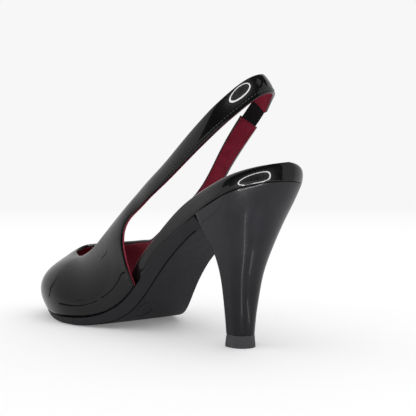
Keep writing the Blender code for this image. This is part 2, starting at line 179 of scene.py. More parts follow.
def ovalTorus(name, segments):
    bpy.ops.object.select_all(action="DESELECT")
    bpy.ops.mesh.primitive_torus_add(major_radius=1.0, minor_radius=torusTube, major_segments=segments,
                                     minor_segments=8, location=(0, 0, 0))
    ring = bpy.context.object
    ring.name = name
    return ring


def ovalSpot(corner, radii, tube, tilt):
    # a corner of the round torus moved onto a tilted oval: along, across, and share of the tube's height
    flat = Vector((corner.x, corner.y))
    around = flat.normalized()
    thick = (flat.length - 1.0) / torusTube * tube
    a = around.x * (radii[0] + thick)
    b = around.y * (radii[1] + thick)
    turn = math.radians(tilt)
    along = a * math.cos(turn) - b * math.sin(turn)
    across = a * math.sin(turn) + b * math.cos(turn)
    return along, across, corner.z / torusTube


def finishPiece(piece, finish, nodeName=None):
    piece.data.materials.clear()
    piece.data.materials.append(finish)
    for face in piece.data.polygons:
        face.material_index = 0
    pickOnly(piece)
    bpy.ops.object.shade_smooth()
    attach(piece, "root")
    if nodeName:
        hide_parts(nodeName)


# finishes

def newFinish(name):
    finish = bpy.data.materials.new(name)
    finish.use_nodes = True
    nodes = finish.node_tree.nodes
    return finish, nodes, finish.node_tree.links, nodes["Principled BSDF"]


def setShader(shader, settings):
    for socketName, value in settings.items():
        shader.inputs[socketName].default_value = value


def objectPlace(nodes):
    return nodes.new("ShaderNodeTexCoord").outputs["Object"]


def attributeOf(nodes, name):
    attribute = nodes.new("ShaderNodeAttribute")
    attribute.attribute_name = name
    return attribute.outputs["Fac"]


def partOf(nodes, links, place, axis):
    apart = nodes.new("ShaderNodeSeparateXYZ")
    links.new(place, apart.inputs["Vector"])
    return apart.outputs[axis]


def noiseOn(nodes, links, place, scale, detail=3.0, stretch=None):
    noise = nodes.new("ShaderNodeTexNoise")
    noise.inputs["Scale"].default_value = scale
    noise.inputs["Detail"].default_value = detail
    if stretch:
        mapping = nodes.new("ShaderNodeMapping")
        mapping.inputs["Scale"].default_value = stretch
        links.new(place, mapping.inputs["Vector"])
        place = mapping.outputs["Vector"]
    links.new(place, noise.inputs["Vector"])
    return noise.outputs["Fac"]


def rampOf(nodes, links, source, low, high, start=0.3, end=0.7):
    ramp = nodes.new("ShaderNodeValToRGB")
    ramp.color_ramp.elements[0].position = start
    ramp.color_ramp.elements[0].color = (*low, 1)
    ramp.color_ramp.elements[1].position = end
    ramp.color_ramp.elements[1].color = (*high, 1)
    links.new(source, ramp.inputs["Fac"])
    return ramp.outputs["Color"]


def rangeOf(nodes, links, source, low, high, start=0.3, end=0.7, eased=False):
    span = nodes.new("ShaderNodeMapRange")
    if eased:
        span.interpolation_type = "SMOOTHSTEP"
    span.inputs["From Min"].default_value = start
    span.inputs["From Max"].default_value = end
    span.inputs["To Min"].default_value = low
    span.inputs["To Max"].default_value = high
    links.new(source, span.inputs["Value"])
    return span.outputs["Result"]


def feed(links, source, socket):
    # a socket takes a number, a colour or another node's result
    if isinstance(source, tuple):
        socket.default_value = (*source, 1)
    elif isinstance(source, float):
        socket.default_value = source
    else:
        links.new(source, socket)


def mathOf(nodes, links, operation, *sources):
    step = nodes.new("ShaderNodeMath")
    step.operation = operation
    for source, socket in zip(sources, step.inputs):
        feed(links, source, socket)
    return step.outputs["Value"]


def mixOf(nodes, links, share, first, second):
    # first colour where the share is 0, second where it is 1
    mix = nodes.new("ShaderNodeMix")
    mix.data_type = "RGBA"
    links.new(share, mix.inputs[0])
    feed(links, first, mix.inputs[6])
    feed(links, second, mix.inputs[7])
    return mix.outputs[2]


def scaledBy(nodes, links, tone, factor):
    scaled = nodes.new("ShaderNodeVectorMath")
    scaled.operation = "SCALE"
    links.new(tone, scaled.inputs[0])
    links.new(factor, scaled.inputs["Scale"])
    return scaled.outputs["Vector"]


def bumpFrom(nodes, links, source, strength, distance, under=None):
    bump = nodes.new("ShaderNodeBump")
    bump.inputs["Strength"].default_value = strength
    bump.inputs["Distance"].default_value = distance
    links.new(source, bump.inputs["Height"])
    if under:
        links.new(under, bump.inputs["Normal"])
    return bump.outputs["Normal"]


# wave and peel: noise size, strength and depth; roll and foot: reach and depth of the turned edges;
# groove: half width, strength and depth
patentLook = {
    "dark": (0.0024, 0.0024, 0.0026), "light": (0.0046, 0.0046, 0.0049), "clouds": 60.0, "grain": 700.0,
    "under": (0.30, 0.42), "wave": (75.0, 0.035, 0.0006), "peel": (520.0, 0.012, 0.00006),
    "roll": (0.0026, 0.0007), "foot": (0.0014, 0.0006), "rollStart": -0.6,
    "stitchLine": 0.0021, "groove": (0.0008, 0.5, 0.00025),
    "shader": {"Specular IOR Level": 0.06, "Coat Weight": 1.0, "Coat Roughness": 0.025, "Coat IOR": 1.43},
}


def turnedOver(nodes, links, run, size, under):
    reach, depth = size
    fall = rangeOf(nodes, links, run, 0.0, 1.0, patentLook["rollStart"] * reach, reach, True)
    return bumpFrom(nodes, links, fall, 1.0, depth, under)


def patentLeather(name, grooved):
    finish, nodes, links, shader = newFinish(name)
    place = objectPlace(nodes)
    cloud = noiseOn(nodes, links, place, patentLook["clouds"])
    tone = rampOf(nodes, links, cloud, patentLook["dark"], patentLook["light"])
    links.new(tone, shader.inputs["Base Color"])
    grain = noiseOn(nodes, links, place, patentLook["grain"], 2.0)
    links.new(rangeOf(nodes, links, grain, *patentLook["under"]), shader.inputs["Roughness"])
    setShader(shader, patentLook["shader"])
    normal = None
    for size, strength, depth in (patentLook["wave"], patentLook["peel"]):
        normal = bumpFrom(nodes, links, noiseOn(nodes, links, place, size, 1.0), strength, depth, normal)
    if grooved:
        # the leather turns over at the cut edge and at the sole, and the thread pulls it in
        edge = attributeOf(nodes, "edgeRun")
        normal = turnedOver(nodes, links, edge, patentLook["roll"], normal)
        normal = turnedOver(nodes, links, attributeOf(nodes, "footRun"), patentLook["foot"], normal)
        half, strength, depth = patentLook["groove"]
        beside = mathOf(nodes, links, "SUBTRACT", edge, patentLook["stitchLine"])
        trough = rangeOf(nodes, links, mathOf(nodes, links, "ABSOLUTE", beside), 0.0, 1.0, 0.0, half, True)
        normal = bumpFrom(nodes, links, trough, strength, depth, normal)
    links.new(normal, shader.inputs["Normal"])
    links.new(normal, shader.inputs["Coat Normal"])
    return finish


# inside: where along the shoe the paler red of the toe begins and where it is full; that paler red is
# painted light, standing in for light reaching the lining inside the front of the shoe
liningLook = {
    "deep": (0.128, 0.0096, 0.0200), "red": (0.212, 0.0158, 0.0345),
    "paintedLightDeep": (0.240, 0.040, 0.060), "paintedLightRed": (0.340, 0.058, 0.088), "inside": (-0.02, 0.02),
    "clouds": 120.0, "spread": (0.22, 0.72), "nap": (2600.0, 0.35, 0.00012),
    "shader": {"Roughness": 0.92, "Specular IOR Level": 0.08, "Sheen Weight": 0.10, "Sheen Roughness": 0.45,
               "Sheen Tint": (0.60, 0.08, 0.13, 1)},
}


def redSuede(name):
    finish, nodes, links, shader = newFinish(name)
    place = objectPlace(nodes)
    cloud = noiseOn(nodes, links, place, liningLook["clouds"], 4.0)
    spread = liningLook["spread"]
    strap = rampOf(nodes, links, cloud, liningLook["deep"], liningLook["red"], *spread)
    # painted light: a lighter red towards the toe stands in for more light reaching the lining inside the
    # shoe
    paintedLightToe = rampOf(nodes, links, cloud, liningLook["paintedLightDeep"], liningLook["paintedLightRed"], *spread)
    inside = rangeOf(nodes, links, partOf(nodes, links, place, "X"), 0.0, 1.0, *liningLook["inside"])
    links.new(mixOf(nodes, links, inside, strap, paintedLightToe), shader.inputs["Base Color"])
    setShader(shader, liningLook["shader"])
    size, strength, depth = liningLook["nap"]
    nap = noiseOn(nodes, links, place, size, 3.0)
    links.new(bumpFrom(nodes, links, nap, strength, depth), shader.inputs["Normal"])
    return finish


# line: distances from the corner where the dark line ends and where the plain rubber begins; the line's dark
# tone is painted shade, standing in for the shadow in a groove at the corner
rubberLook = {"clouds": 90.0, "scuffs": 240.0, "pores": 2400.0, "poreDepth": 0.00008, "specular": 0.36}
soleLook = {
    "dark": (0.0125, 0.0127, 0.0165), "light": (0.0150, 0.0152, 0.0195), "rough": (0.54, 0.60),
    "stipple": 0.35, "line": (0.0003, 0.0007), "grooveShadeTone": (0.0006, 0.0006, 0.0008),
}
tipLook = {
    "dark": (0.042, 0.0425, 0.0465), "light": (0.056, 0.0565, 0.061), "rough": (0.45, 0.60),
    "stipple": 0.2,
}


def mouldedRubber(name, look, lined=False):
    finish, nodes, links, shader = newFinish(name)
    place = objectPlace(nodes)
    cloud = noiseOn(nodes, links, place, rubberLook["clouds"], 5.0)
    tone = rampOf(nodes, links, cloud, look["dark"], look["light"])
    scuff = noiseOn(nodes, links, place, rubberLook["scuffs"], 4.0)
    rough = rangeOf(nodes, links, scuff, *look["rough"])
    if lined:
        # painted shade: a fine dark line along the corner of the sole, standing in for the shadow in a
        # groove
        line = rangeOf(nodes, links, attributeOf(nodes, "cornerRun"), 0.0, 1.0, *look["line"])
        tone = mixOf(nodes, links, line, look["grooveShadeTone"], tone)
        dull = nodes.new("ShaderNodeMix")
        links.new(line, dull.inputs["Factor"])
        dull.inputs[2].default_value = 1.0
        links.new(rough, dull.inputs[3])
        rough = dull.outputs[0]
    links.new(tone, shader.inputs["Base Color"])
    links.new(rough, shader.inputs["Roughness"])
    shader.inputs["Specular IOR Level"].default_value = rubberLook["specular"]
    pores = noiseOn(nodes, links, place, rubberLook["pores"], 2.0)
    stipple = bumpFrom(nodes, links, pores, look["stipple"], rubberLook["poreDepth"])
    links.new(stipple, shader.inputs["Normal"])
    return finish


# heights between which the heel's tone rises, and how far: painted light, the upper heel made lighter as if
# more light fell on it
heelLook = {
    "dark": (0.0080, 0.0080, 0.0098), "light": (0.0110, 0.0110, 0.0134), "clouds": 70.0,
    "paintedLightRise": (0.030, 0.062, 2.1), "rough": (0.22, 0.30), "brushed": 300.0, "stretch": (1.0, 1.0, 0.12),
    "wave": (55.0, 0.03, 0.0006),
    "shader": {"Specular IOR Level": 0.20, "Coat Weight": 0.30, "Coat Roughness": 0.06, "Coat IOR": 1.42},
}


def polishedHeel(name):
    finish, nodes, links, shader = newFinish(name)
    place = objectPlace(nodes)
    cloud = noiseOn(nodes, links, place, heelLook["clouds"], 3.0)
    tone = rampOf(nodes, links, cloud, heelLook["dark"], heelLook["light"])
    low, high, most = heelLook["paintedLightRise"]
    # painted light: the heel's tone is scaled up towards its top, as if more light fell there
    rise = rangeOf(nodes, links, partOf(nodes, links, place, "Z"), 1.0, most, low, high)
    links.new(scaledBy(nodes, links, tone, rise), shader.inputs["Base Color"])
    brushed = noiseOn(nodes, links, place, heelLook["brushed"], 3.0, heelLook["stretch"])
    links.new(rangeOf(nodes, links, brushed, *heelLook["rough"]), shader.inputs["Roughness"])
    setShader(shader, heelLook["shader"])
    size, strength, depth = heelLook["wave"]
    wave = noiseOn(nodes, links, place, size, 1.0)
    links.new(bumpFrom(nodes, links, wave, strength, depth), shader.inputs["Normal"])
    return finish


elasticLook = {
    "dark": (0.004, 0.004, 0.0044), "light": (0.011, 0.011, 0.0115), "turn": -40.0,
    "ribs": 1500.0 / 6.3, "picks": 1500.0 / 4.2, "wobble": 0.4, "raised": (0.7, 0.00025),
    "shader": {"Roughness": 0.82, "Specular IOR Level": 0.3},
}


def wovenElastic(name):
    finish, nodes, links, shader = newFinish(name)
    turn = nodes.new("ShaderNodeMapping")
    turn.inputs["Rotation"].default_value = (0.0, math.radians(elasticLook["turn"]), 0.0)
    links.new(objectPlace(nodes), turn.inputs["Vector"])
    ribs = nodes.new("ShaderNodeTexWave")
    ribs.bands_direction = "Z"
    ribs.inputs["Scale"].default_value = elasticLook["ribs"]
    ribs.inputs["Distortion"].default_value = elasticLook["wobble"]
    links.new(turn.outputs["Vector"], ribs.inputs["Vector"])
    picks = nodes.new("ShaderNodeTexWave")
    picks.bands_direction = "X"
    picks.inputs["Scale"].default_value = elasticLook["picks"]
    links.new(turn.outputs["Vector"], picks.inputs["Vector"])
    weave = mathOf(nodes, links, "MULTIPLY", ribs.outputs["Fac"], picks.outputs["Fac"])
    links.new(rampOf(nodes, links, weave, elasticLook["dark"], elasticLook["light"], 0.0, 1.0),
              shader.inputs["Base Color"])
    setShader(shader, elasticLook["shader"])
    links.new(bumpFrom(nodes, links, weave, *elasticLook["raised"]), shader.inputs["Normal"])
    return finish


threadLook = {"twist": 3500.0, "raised": (0.4, 0.0001)}
blackLook = {"dark": (0.030, 0.030, 0.031), "light": (0.100, 0.100, 0.102), "rough": 0.38}
redLook = {"dark": (0.13, 0.012, 0.024), "light": (0.30, 0.045, 0.065), "rough": 0.6}


def sewingThread(name, look):
    finish, nodes, links, shader = newFinish(name)
    twist = noiseOn(nodes, links, objectPlace(nodes), threadLook["twist"], 2.0)
    links.new(rampOf(nodes, links, twist, look["dark"], look["light"]), shader.inputs["Base Color"])
    shader.inputs["Roughness"].default_value = look["rough"]
    links.new(bumpFrom(nodes, links, twist, *threadLook["raised"]), shader.inputs["Normal"])
    return finish


patent = patentLeather("patent leather", True)
rimPatent = patentLeather("rim patent leather", False)
suede = redSuede("red suede lining")
rubber = mouldedRubber("sole rubber", soleLook)
soleFinish = mouldedRubber("lined sole rubber", soleLook, True)
tipRubber = mouldedRubber("tip rubber", tipLook)
heelGloss = polishedHeel("polished heel")
elastic = wovenElastic("woven elastic")
blackThread = sewingThread("black thread", blackLook)
redThread = sewingThread("red thread", redLook)
print("finishes ready")


# upper: outer skin, red lining and its sewing

# redEdge: heights between which the red on the cut edge draws back; redShare: how much of the edge it keeps;
# skinFrom: weight from which a corner counts as on the outer face
upperWork = {
    "fold": 52, "edgeCrease": 0.62, "levels": 2, "lip": 0.0009, "liningProud": 0.0002, "liningThick": 0.0004,
    "throat": (0.0900, 0.0013, 0.0470), "endFaces": 14, "lowFoot": 0.006, "skinFrom": 0.9,
    "redEdge": (0.076, 0.090), "redShare": (0.5, 0.2),
}
outerSide, innerSide, topEdge, cutEdge, featherEdge, strapEnd = range(6)


def markUpperRegions(piece):
    regions = regionsBetweenCreases(piece, upperWork["fold"])
    for number in range(6):
        piece.data.materials.append(None)
    corners = piece.data.vertices
    faces = piece.data.polygons
    throat = Vector(upperWork["throat"])
    rims = regions[2:]
    reach = [min((corners[v].co - throat).length for f in rim for v in faces[f].vertices) for rim in rims]
    depth = [min(corners[v].co.z for f in rim for v in faces[f].vertices) for rim in rims]
    for f in regions[0]:
        faces[f].material_index = outerSide
    for f in regions[1]:
        faces[f].material_index = innerSide
    for number, rim in enumerate(rims):
        kind = cutEdge
        if number == reach.index(min(reach)):
            kind = topEdge
        elif len(rim) < upperWork["endFaces"]:
            kind = strapEnd
        elif number == depth.index(min(depth)) or depth[number] < upperWork["lowFoot"]:
            kind = featherEdge
        for f in rim:
            faces[f].material_index = kind
    skin = piece.vertex_groups.new(name="skin")
    skin.add(sorted({v for f in regions[0] for v in faces[f].vertices}), 1.0, "REPLACE")
    print("upper regions:", len(regions), "rim sizes", [len(rim) for rim in rims])


def skinWeights(piece):
    # 1 on the outer face, 0 on the inner one, between them across the edges
    group = piece.vertex_groups["skin"].index
    return [next((g.weight for g in v.groups if g.group == group), 0.0) for v in piece.data.vertices]


def chainsBetween(mesh, first, second):
    # runs of corners where two regions meet, in order
    sides = {}
    for face in mesh.polygons:
        for key in face.edge_keys:
            sides.setdefault(key, []).append(face.material_index)
    links = {}
    for (a, b), kinds in sides.items():
        if sorted(kinds) == sorted((first, second)):
            links.setdefault(a, []).append(b)
            links.setdefault(b, []).append(a)
    chains = []
    while links:
        ends = [v for v in links if len(links[v]) == 1]
        here = ends[0] if ends else next(iter(links))
        chain = [here]
        while True:
            onward = links.get(here)
            if not onward:
                links.pop(here, None)
                break
            step = onward.pop()
            links[step].remove(here)
            if not onward:
                links.pop(here)
            here = step
            chain.append(here)
        chains.append(chain)
    return [chain for chain in chains if len(chain) > 4]


# inset and bare end of each row: along the sides, at the strap ends and under the top edge
stitchWork = {"length": 0.00072, "width": 0.00023, "height": 0.00028, "spacing": 0.0021, "sink": 0.00004,
              "side": (patentLook["stitchLine"], 0.002), "end": (0.0024, 0.0014), "lip": (0.0008, 0.0)}


def sewingLine(mesh, chain, region, inset, bareEnd):
    # places for stitches: even steps along the chain, moved onto the region and laid on its surface
    beside = {v: [] for v in chain}
    for face in mesh.polygons:
        if face.material_index != region:
            continue
        for v in face.vertices:
            if v in beside:
                beside[v].append(face.center.copy())
    points = [mesh.vertices[v].co.copy() for v in chain]
    inward = []
    for v, point in zip(chain, points):
        middle = sum(beside[v], Vector()) / len(beside[v])
        inward.append((middle - point).normalized())
    tree = BVHTree.FromPolygons([v.co for v in mesh.vertices],
                                [f.vertices[:] for f in mesh.polygons if f.material_index == region])
    lengths = [0.0]
    for a, b in zip(points, points[1:]):
        lengths.append(lengths[-1] + (b - a).length)
    places = []
    at = bareEnd + stitchWork["spacing"] * 0.5
    k = 0
    while at < lengths[-1] - bareEnd:
        while lengths[k + 1] < at:
            k += 1
        share = (at - lengths[k]) / (lengths[k + 1] - lengths[k])
        tangent = (points[min(k + 2, len(points) - 1)] - points[max(k - 1, 0)]).normalized()
        side = inward[k].lerp(inward[k + 1], share)
        side = (side - tangent * side.dot(tangent)).normalized()
        spot, normal, index, far = tree.find_nearest(points[k].lerp(points[k + 1], share) + side * inset)
        places.append((spot, tangent, normal))
        at += stitchWork["spacing"]
    return places


def sewingRows(mesh, region, edge, place):
    rows = []
    for chain in chainsBetween(mesh, region, edge):
        rows += sewingLine(mesh, chain, region, *stitchWork[place])
    return rows


def sewRow(pieceName, places, thread):
    bpy.ops.object.select_all(action="DESELECT")
    bpy.ops.mesh.primitive_uv_sphere_add(segments=8, ring_count=5, radius=1.0, location=(0, 0, 0))
    pattern = bpy.context.object
    # flatten the ball into one laid stitch, its poles along the thread
    editAll(pattern, bpy.ops.transform.resize,
            value=(stitchWork["height"], stitchWork["width"], stitchWork["length"]))
    row = []
    for spot, tangent, normal in places:
        stitch = pattern.copy()
        stitch.data = pattern.data.copy()
        bpy.context.collection.objects.link(stitch)
        across = tangent.cross(normal).normalized()
        up = across.cross(tangent).normalized()
        if up.dot(normal) < 0:
            up = -up
        turn = Matrix((up, tangent.cross(up).normalized(), tangent)).transposed().to_4x4()
        stitch.data.transform(Matrix.Translation(spot + normal * stitchWork["sink"]) @ turn)
        row.append(stitch)
    bpy.data.objects.remove(pattern)
    pickOnly(row[0])
    for stitch in row:
        stitch.select_set(True)
    bpy.ops.object.join()
    sewn = bpy.context.object
    sewn.name = pieceName
    editAll(sewn, bpy.ops.mesh.normals_make_consistent, inside=False)
    finishPiece(sewn, thread)
    print(pieceName, len(places), "stitches")


def makeLining(mesh, weight):
    # inner face short of the top edge, and the inner part of the cut edge
    topPoints = {v for f in mesh.polygons if f.material_index == topEdge for v in f.vertices}
    rim = nearestOf([mesh.vertices[v].co for v in topPoints])
    low, high = upperWork["redEdge"]
    most, least = upperWork["redShare"]
    lined = []
    for face in mesh.polygons:
        covered = sum(weight[v] for v in face.vertices) / len(face.vertices)
        if face.material_index == innerSide:
            lined.append(rim.find(face.center)[2] > upperWork["lip"])
        elif face.material_index in (cutEdge, strapEnd):
            # the red shows at the swept-back cut and hides under the strap
            share = min(1.0, max(0.0, (face.center.z - low) / (high - low)))
            lined.append(covered < most + (least - most) * share)
        else:
            lined.append(False)
    piece = bpy.data.objects.new("red_lining", mesh.copy())
    bpy.context.collection.objects.link(piece)
    deleteFaces(piece, lined)
    editAll(piece, bpy.ops.transform.shrink_fatten, value=upperWork["liningProud"])
    applyThickness(piece, upperWork["liningThick"])
    return piece


def makeUpper():
    skinPiece = copyOfNode("upper", "patent_upper")
    markUpperRegions(skinPiece)
    creaseSharpEdges(skinPiece, upperWork["fold"], upperWork["edgeCrease"])
    applySubdivision(skinPiece, upperWork["levels"])
    mesh = skinPiece.data
    weight = skinWeights(skinPiece)
    for name, kinds in (("edgeRun", (cutEdge, strapEnd)), ("footRun", (featherEdge,))):
        edge = {v for f in mesh.polygons if f.material_index in kinds for v in f.vertices}
        edge = [v for v in edge if weight[v] > upperWork["skinFrom"]]
        markDistance(mesh, name, [mesh.vertices[v].co for v in edge])
    liningPiece = makeLining(mesh, weight)
    # rows of sewing before the regions are forgotten
    outerRows = sewingRows(mesh, outerSide, cutEdge, "side") + sewingRows(mesh, outerSide, strapEnd, "end")
    innerRows = sewingRows(mesh, innerSide, cutEdge, "side") + sewingRows(mesh, innerSide, strapEnd, "end")
    proud = upperWork["liningProud"]
    innerRows = [(spot + normal * proud, tangent, normal) for spot, tangent, normal in innerRows]
    lipRows = sewingRows(mesh, innerSide, topEdge, "lip")
    finishPiece(skinPiece, patent, "upper")
    finishPiece(liningPiece, suede)
    sewRow("edge_stitches", outerRows, blackThread)
    sewRow("lining_stitches", innerRows, redThread)
    sewRow("topline_stitches", lipRows, blackThread)
    print("upper made:", len(skinPiece.data.polygons), "faces, lining", len(liningPiece.data.polygons))


makeUpper()


# insole: patent-covered rim and a red sock lying on the board

rimWork = {"fold": 60, "crease": 0.8, "levels": 2, "frontEnd": -0.004, "facing": (-0.45, 0.93), "rounds": 14,
           "share": 0.5}
# above and beside: where the rays start; below: how far under the top they meet the board's edge;
# reach and crowd: how near the middle the last ring comes and how the rings gather
sockWork = {"inset": 0.0030, "thick": 0.0006, "lift": 0.00022, "stations": 70, "rings": 7, "spineEnd": 0.021,
            "endGap": 0.0002, "above": 0.3, "beside": 0.2, "below": 0.0026, "reach": 0.999, "crowd": 0.8,
            "weld": 0.0003}


def roundTheRim(piece):
    # even out the covered edge into one full bead; its lower corner stays on the heel
    pickOnly(piece)
    bpy.ops.object.mode_set(mode="EDIT")
    bpy.ops.mesh.select_mode(type="VERT")
    bpy.ops.mesh.select_all(action="DESELECT")
    bpy.ops.object.mode_set(mode="OBJECT")
    least, most = rimWork["facing"]
    for corner in piece.data.vertices:
        corner.select = corner.co.x < rimWork["frontEnd"] and least < corner.normal.z < most
    bpy.ops.object.mode_set(mode="EDIT")
    bpy.ops.mesh.vertices_smooth(factor=rimWork["share"], repeat=rimWork["rounds"])
    bpy.ops.object.mode_set(mode="OBJECT")


def topOf(tree, x, y):
    return tree.ray_cast(Vector((x, y, sockWork["above"])), Vector((0, 0, -1)))[0].z


def sockOutline(piece):
    # outline of the board, read by straight rays from both sides and moved in
    tree = surfaceOf(piece.data)
    low = min(v.co.x for v in piece.data.vertices) + sockWork["endGap"]
    high = max(v.co.x for v in piece.data.vertices) - sockWork["endGap"]
    outer = []
    inner = []
    for k in range(sockWork["stations"] + 1):
        turn = math.pi * k / sockWork["stations"]
        x = 0.5 * (low + high) - 0.5 * (high - low) * math.cos(turn)
        level = topOf(tree, x, 0.0) - sockWork["below"]
        right = tree.ray_cast(Vector((x, sockWork["beside"], level)), Vector((0, -1, 0)))[0]
        left = tree.ray_cast(Vector((x, -sockWork["beside"], level)), Vector((0, 1, 0)))[0]
        if right and left:
            outer.append(Vector((x, right.y, 0)))
            inner.append(Vector((x, left.y, 0)))
    loop = outer + inner[::-1]
    moved = []
    for k, point in enumerate(loop):
        along = (loop[(k + 1) % len(loop)] - loop[k - 1]).normalized()
        moved.append(point + Vector((along.y, -along.x, 0)) * sockWork["inset"])

    def middle(x):
        return 0.5 * sum(min(side, key=lambda p: abs(p.x - x)).y for side in (outer, inner))

    return tree, moved, middle, low, high


def makeSock(piece):
    tree, loop, middle, low, high = sockOutline(piece)
    points = []
    for ring in range(sockWork["rings"] + 1):
        share = sockWork["reach"] * (ring / sockWork["rings"]) ** sockWork["crowd"]
        for edge in loop:
            spineX = min(max(edge.x, low + sockWork["spineEnd"]), high - sockWork["spineEnd"])
            spot = edge.lerp(Vector((spineX, middle(spineX), 0)), share)
            points.append((spot.x, spot.y, topOf(tree, spot.x, spot.y) + sockWork["lift"]))
    count = len(loop)
    faces = []
    for ring in range(sockWork["rings"]):
        for k in range(count):
            n = (k + 1) % count
            a = ring * count
            faces.append((a + k, a + n, a + count + n, a + count + k))
    mesh = bpy.data.meshes.new("red_sock")
    mesh.from_pydata(points, [], faces)
    sockPiece = bpy.data.objects.new("red_sock", mesh)
    bpy.context.collection.objects.link(sockPiece)
    editAll(sockPiece, bpy.ops.mesh.remove_doubles, threshold=sockWork["weld"])
    editAll(sockPiece, bpy.ops.mesh.normals_make_consistent, inside=False)
    if sum(f.normal.z for f in mesh.polygons) < 0:
        editAll(sockPiece, bpy.ops.mesh.flip_normals)
    applyThickness(sockPiece, sockWork["thick"])
    return sockPiece


def makeInsole():
    rimPiece = copyOfNode("insole", "covered_rim")
    creaseSharpEdges(rimPiece, rimWork["fold"], rimWork["crease"])
    applySubdivision(rimPiece, rimWork["levels"])
    roundTheRim(rimPiece)
    sockPiece = makeSock(rimPiece)
    finishPiece(rimPiece, rimPatent, "insole")
    finishPiece(sockPiece, suede)
    print("insole made:", len(rimPiece.data.polygons), "faces, sock", len(sockPiece.data.polygons))


makeInsole()


# outsole, heel, tip and elastic

# corner: fold angles of the lower corner; facing: how far down it looks; steps: points along each edge
soleWork = {"fold": 38, "crease": 0.55, "end": 62, "levels": 2, "round": 0.0003, "corner": (40, 75),
            "facing": -0.3, "rearGap": 0.004, "steps": 12}


def soleCorner(piece):
    # points along the corner between the wall and the tread
    shape = bmesh.new()
    shape.from_mesh(piece.data)
    rear = min(v.co.x for v in shape.verts) + soleWork["rearGap"]
    least, most = soleWork["corner"]
    steps = soleWork["steps"]
    points = []
    for edge in shape.edges:
        if len(edge.link_faces) != 2 or not least < math.degrees(edge.calc_face_angle()) < most:
            continue
        a, b = edge.verts[0].co, edge.verts[1].co
        facing = edge.link_faces[0].normal + edge.link_faces[1].normal
        if facing.z < soleWork["facing"] and min(a.x, b.x) > rear:
            points += [a.lerp(b, k / steps) for k in range(steps + 1)]
    shape.free()
    return points


sizeRing = {"centre": (-0.0014, 0.0120), "radii": (0.0082, 0.0056), "turn": 20.0, "slope": 0.78,
            "band": 0.00042, "proud": 0.00042, "under": -0.05}


def makeSizeRing(solePiece):
    # a plain raised oval under the waist
    tree = surfaceOf(solePiece.data)
    ring = ovalTorus("sole_ring", 56)
    x, y = sizeRing["centre"]
    for corner in ring.data.vertices:
        along, across, rise = ovalSpot(corner.co, sizeRing["radii"], sizeRing["band"], sizeRing["turn"])
        spot = Vector((x - along * sizeRing["slope"], y + across, sizeRing["under"]))
        hit, normal, face, far = tree.ray_cast(spot, Vector((0, 0, 1)))
        corner.co = hit + normal * (rise * sizeRing["proud"])
    editAll(ring, bpy.ops.mesh.normals_make_consistent, inside=False)
    finishPiece(ring, rubber)


def makeSole():
    solePiece = copyOfNode("outsole", "rubber_sole")
    corner = soleCorner(solePiece)
    creaseSharpEdges(solePiece, soleWork["fold"], soleWork["crease"])
    creaseSharpEdges(solePiece, soleWork["end"], 1.0)
    applySubdivision(solePiece, soleWork["levels"])
    roundEdges(solePiece, soleWork["round"], soleWork["end"])
    markDistance(solePiece.data, "cornerRun", corner)
    finishPiece(solePiece, soleFinish, "outsole")
    makeSizeRing(solePiece)
    print("sole made:", len(solePiece.data.polygons), "faces")


heelWork = {"fold": 48, "levels": 2, "round": 0.0006}
tipWork = {"fold": 48, "levels": 2, "round": 0.0003}


def makeBlock(nodeName, pieceName, work, finish):
    piece = copyOfNode(nodeName, pieceName)
    creaseSharpEdges(piece, work["fold"], 1.0)
    applySubdivision(piece, work["levels"])
    roundEdges(piece, work["round"], work["fold"])
    finishPiece(piece, finish, nodeName)
    print(pieceName, "made:", len(piece.data.polygons), "faces")


elasticWork = {"fold": 50, "crease": 0.8, "levels": 2}


def makeElastic():
    bandPiece = copyOfNode("elastic_gore", "elastic_band")
    creaseSharpEdges(bandPiece, elasticWork["fold"], elasticWork["crease"])
    applySubdivision(bandPiece, elasticWork["levels"])
    finishPiece(bandPiece, elastic, "elastic_gore")
    print("elastic made:", len(bandPiece.data.polygons), "faces")


makeSole()
makeBlock("heel", "heel_block", heelWork, heelGloss)
makeBlock("heel_tip", "heel_tip_rubber", tipWork, tipRubber)
makeElastic()


# studio: pale floor, white surround, dark hood by the camera, ring lamps, cards and camera

# seen, soft and tent: the surround behind the shoe, as light on it, and in its shine;
# floorCloud: noise size and darkest share; the floor's own glow near the shoe is painted light that keeps
# its shadow thin; floorFade: distances over which that glow rises to full and the floor melts into the
# backdrop
studio = {
    "floor": (0.93, 0.93, 0.935), "floorWide": 12.0, "floorCloud": (3.0, 0.995), "floorShine": 0.58,
    "paintedFloorGlow": 0.18, "floorFade": (0.6, 2.5), "floorShader": {"Roughness": 0.9, "Specular IOR Level": 0.0},
    "seen": 0.93, "soft": 1.12, "tent": 0.52,
    "cameraAt": (-0.4446, 0.3176, 0.0926), "turn": 38.84, "dip": 1.742, "lens": 74.53, "sensor": 36.0,
}


def directionFrom(turnRight, rise):
    # 0 points from the shoe back to the camera, positive turns to the camera's right
    a = math.radians(studio["turn"])
    back = Vector((-math.cos(a), math.sin(a), 0))
    right = Vector((-math.sin(a), -math.cos(a), 0))
    t = math.radians(turnRight)
    e = math.radians(rise)
    return (back * math.cos(t) + right * math.sin(t)) * math.cos(e) + Vector((0, 0, math.sin(e)))


